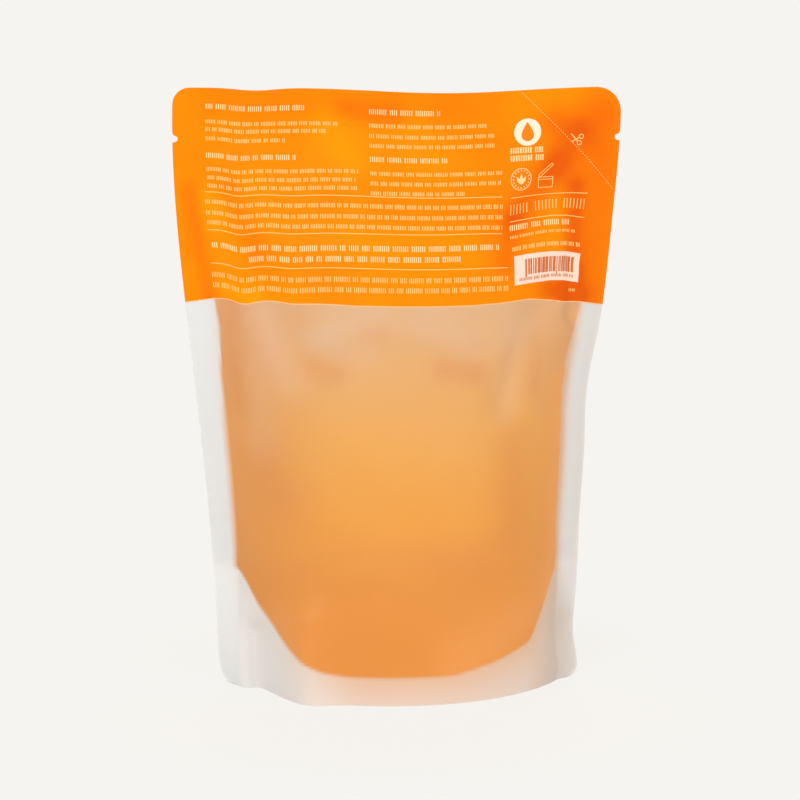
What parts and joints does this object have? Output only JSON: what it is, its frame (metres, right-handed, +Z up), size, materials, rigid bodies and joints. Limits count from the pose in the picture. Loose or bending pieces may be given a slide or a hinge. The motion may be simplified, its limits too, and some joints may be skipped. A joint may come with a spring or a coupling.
{
  "type": "hand soap refill pack",
  "caption": "Filled stand-up pouch of liquid hand soap in laminate film, with an orange band, a frosted window and a folded base web.",
  "frame": {"origin": "on the floor under the middle of the pack's box", "axes": "+Z up the pack, +X to the right of the labelled panel as it is read, +Y from the labelled panel to the rear panel"},
  "size_m": [0.1481, 0.0666, 0.2004],
  "materials": {
    "printed_film": "satin laminate film, printed orange above a frosted translucent window",
    "frosted_film": "frosted translucent laminate film",
    "soap": "orange liquid soap"
  },
  "bodies": {
    "root": {"front_panel": "printed_film", "rear_panel": "printed_film", "bottom_gusset": "frosted_film", "liquid_soap": "soap"}
  },
  "joints": []
}
